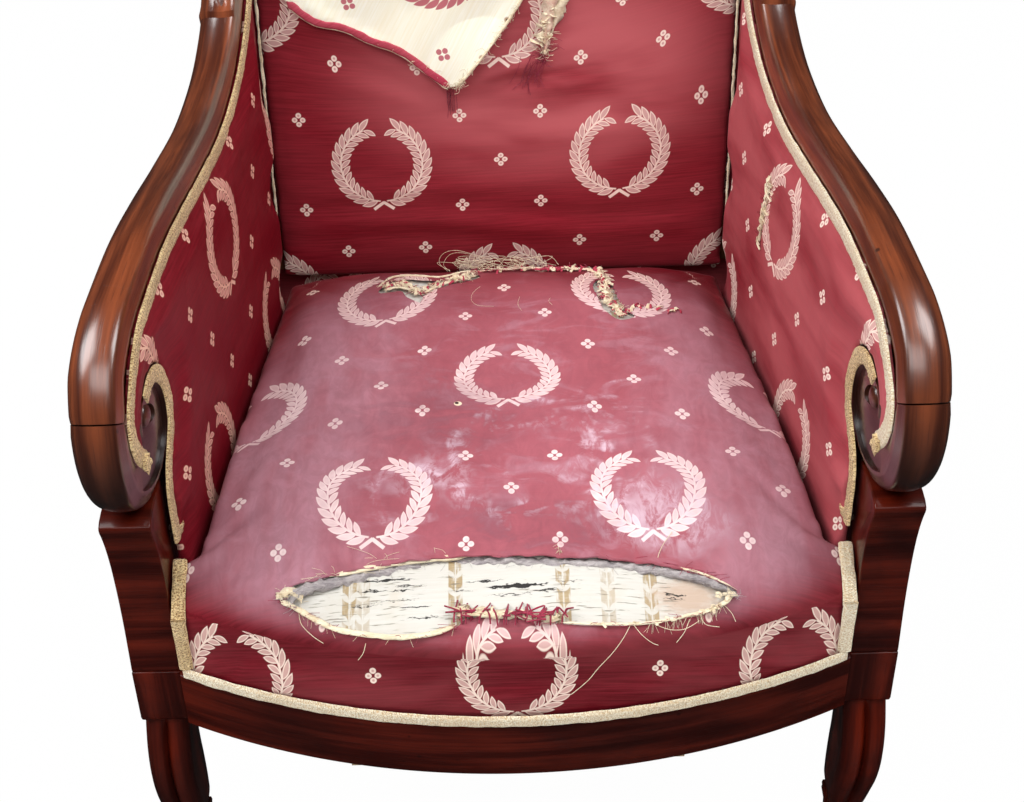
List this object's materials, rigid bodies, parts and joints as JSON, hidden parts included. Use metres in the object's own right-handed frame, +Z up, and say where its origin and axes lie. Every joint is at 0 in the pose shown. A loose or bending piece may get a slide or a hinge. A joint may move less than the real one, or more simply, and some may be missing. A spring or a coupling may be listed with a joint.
{
  "type": "armchair",
  "caption": "Worn scroll-arm armchair of about 1825: mahogany frame with bowed front and carved knee legs, sprung seat, torn crimson satin with laurel wreaths.",
  "frame": {"origin": "on the floor, under the middle of the chair's bounding box", "axes": "+Z up, the chair faces -Y, +X to a viewer's right when facing it"},
  "size_m": [0.604, 0.6428, 0.95],
  "materials": {
    "mahogany": "French-polished mahogany, worn at the edges",
    "beech": "unpolished hidden beech",
    "crimson_satin": "faded crimson satin, pale woven wreaths and small lozenges",
    "cream_silk": "older cream silk with gold leaf stripes, and the pale reverse of the satin",
    "grey_wadding": "matted grey wadding",
    "gold_braid": "woven beige and gold gimp braid",
    "jute": "jute webbing and hessian",
    "horsehair": "horsehair and tow stuffing",
    "spring_steel": "dull coppered steel wire"
  },
  "bodies": {
    "root": {"front_leg_right": "mahogany", "front_leg_left": "mahogany", "arm_console_right": "mahogany", "arm_console_left": "mahogany", "back_upright_right": "mahogany", "back_upright_left": "mahogany", "arm_right": "mahogany", "arm_left": "mahogany", "arm_scroll_right": "mahogany", "arm_scroll_left": "mahogany", "crest_rail": "mahogany", "front_rail": "mahogany", "side_rail_right": "mahogany", "side_rail_left": "mahogany", "back_rail": "beech", "front_corner_block_right": "beech", "front_corner_block_left": "beech", "back_corner_block_right": "beech", "back_corner_block_left": "beech", "web_lengthwise_1": "jute", "web_lengthwise_2": "jute", "web_lengthwise_3": "jute", "web_crosswise_1": "jute", "web_crosswise_2": "jute", "web_crosswise_3": "jute", "spring_1_1": "spring_steel", "spring_1_2": "spring_steel", "spring_1_3": "spring_steel", "spring_2_1": "spring_steel", "spring_2_2": "spring_steel", "spring_2_3": "spring_steel", "spring_3_1": "spring_steel", "spring_3_2": "spring_steel", "spring_3_3": "spring_steel", "seat_cover": "crimson_satin", "seat_wadding": "grey_wadding", "seat_old_cover": "cream_silk", "seat_stuffing": "horsehair", "seat_hessian": "jute", "arm_panel_right": "crimson_satin", "arm_panel_left": "crimson_satin", "outside_arm_cover_right": "crimson_satin", "outside_arm_cover_left": "crimson_satin", "back_pad": "crimson_satin", "back_lower_rail": "beech", "outside_back_cover": "crimson_satin", "back_flap": "cream_silk", "front_braid": "gold_braid", "corner_braid_right": "gold_braid", "corner_braid_left": "gold_braid", "arm_braid_right": "gold_braid", "arm_braid_left": "gold_braid", "volute_braid_right": "gold_braid", "volute_braid_left": "gold_braid"}
  },
  "joints": []
}
